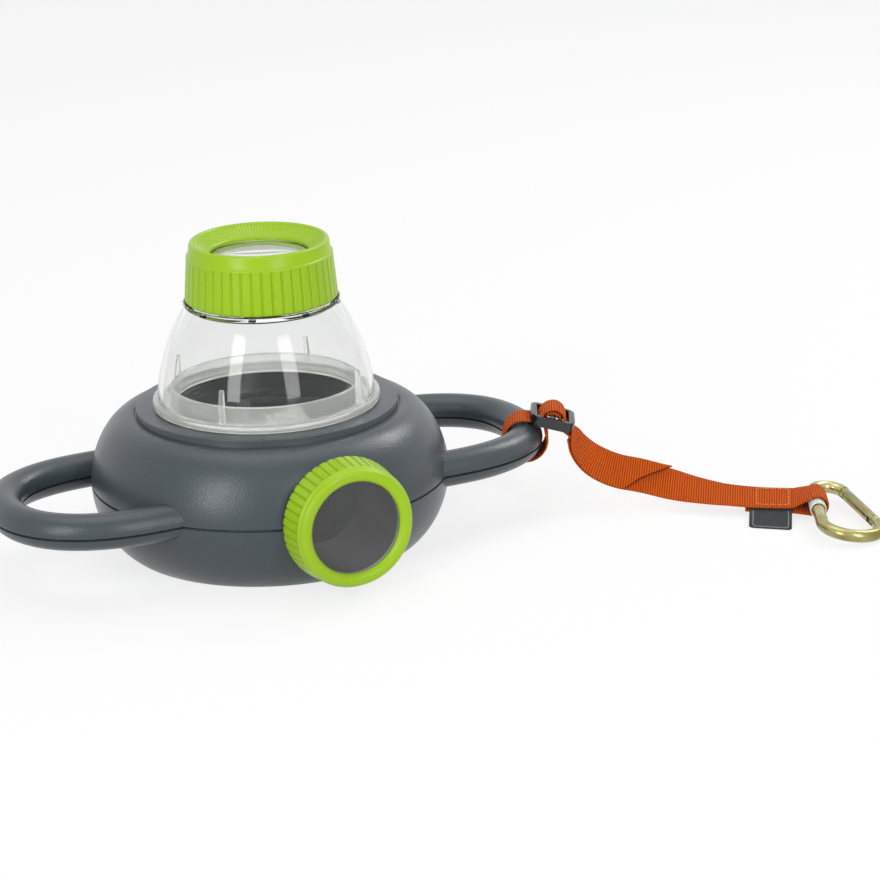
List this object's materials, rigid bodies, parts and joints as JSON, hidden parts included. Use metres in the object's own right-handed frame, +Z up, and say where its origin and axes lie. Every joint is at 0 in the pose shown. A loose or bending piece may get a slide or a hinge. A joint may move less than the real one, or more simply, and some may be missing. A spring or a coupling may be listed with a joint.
{
  "type": "two-way bug viewer",
  "caption": "Hollow two-handled housing with a clear lift-off dome over a specimen cup, a turning top eyepiece, a side eyepiece that sees the specimen's underside by a mirror, and a webbing strap with a snap hook",
  "frame": {"origin": "middle of the flat base, where the viewer stands on a table", "axes": "+Z up through the dome and the top eyepiece, -Y out of the side eyepiece, +X towards the handle that carries the strap"},
  "size_m": [0.3832, 0.2353, 0.1418],
  "materials": {
    "housing": "blue-grey moulded plastic with a fine satin grain",
    "green": "lime green satin plastic",
    "dark_plastic": "near-black matt plastic",
    "clear": "clear water-white plastic",
    "lens": "polished clear magnifier",
    "mirror": "silvered face",
    "screws": "plain steel",
    "buckle": "black moulded plastic",
    "webbing": "orange ribbed webbing",
    "tag": "bare dark grey woven label",
    "sleeve": "white plastic tube",
    "hook": "gold coloured anodised wire"
  },
  "bodies": {
    "housing": {"lower_shell": "housing", "upper_shell": "housing", "chamber_wall": "dark_plastic", "chamber_cup": "clear", "mirror": "mirror", "mirror_bracket": "dark_plastic", "side_tube": "dark_plastic", "base_screw_1": "screws", "base_screw_2": "screws", "base_screw_3": "screws", "base_screw_4": "screws", "handle_screw_1": "screws", "handle_screw_2": "screws", "slider": "buckle", "strap_loop": "webbing", "strap": "webbing", "strap_end_loop": "webbing", "strap_tag": "tag"},
    "dome": {"dome": "clear"},
    "top_lens_holder": {"top_lens": "lens", "top_lens_ring": "dark_plastic"},
    "top_cap": {"top_cap": "green"},
    "side_lens_holder": {"side_lens": "lens", "side_lens_ring": "dark_plastic"},
    "side_bezel": {"side_bezel": "green"},
    "hook": {"carabiner": "hook", "sleeve": "sleeve", "gate_pin": "screws"},
    "gate": {"carabiner_gate": "hook", "gate_plunger": "screws"}
  },
  "joints": [
    {"name": "dome_lift", "type": "slide", "parent": "housing", "child": "dome", "axis": [0, 0, 1], "range_m": [0, 0.08]},
    {"name": "top_focus", "type": "slide", "parent": "dome", "child": "top_lens_holder", "axis": [0, 0, 1], "range_m": [0, 0.0025]},
    {"name": "top_cap_turn", "type": "hinge", "parent": "top_lens_holder", "child": "top_cap", "pos_m": [0, 0, 0.125], "axis": [0, 0, 1], "range_deg": [0, 360]},
    {"name": "side_focus", "type": "slide", "parent": "housing", "child": "side_lens_holder", "axis": [0, -1, 0], "range_m": [0, 0.0025]},
    {"name": "side_bezel_turn", "type": "hinge", "parent": "side_lens_holder", "child": "side_bezel", "pos_m": [0, -0.088, 0.0328], "axis": [0, -1, 0], "range_deg": [0, 360]},
    {"name": "hook_swing", "type": "hinge", "parent": "housing", "child": "hook", "pos_m": [0.22735, -0.10688, 0.0074], "axis": [-0.4435, -0.8956, -0.034], "range_deg": [0, 120]},
    {"name": "gate_open", "type": "hinge", "parent": "hook", "child": "gate", "pos_m": [0.24065, -0.13587, 0.00351], "axis": [0.0998, -0.0871, 0.9912], "range_deg": [0, 13], "stiffness_Nm_per_rad": 0.01}
  ],
  "couplings": [
    {"joint": "top_focus", "follows": "top_cap_turn", "m_per_rad": 0.00039},
    {"joint": "side_focus", "follows": "side_bezel_turn", "m_per_rad": 0.00039}
  ]
}
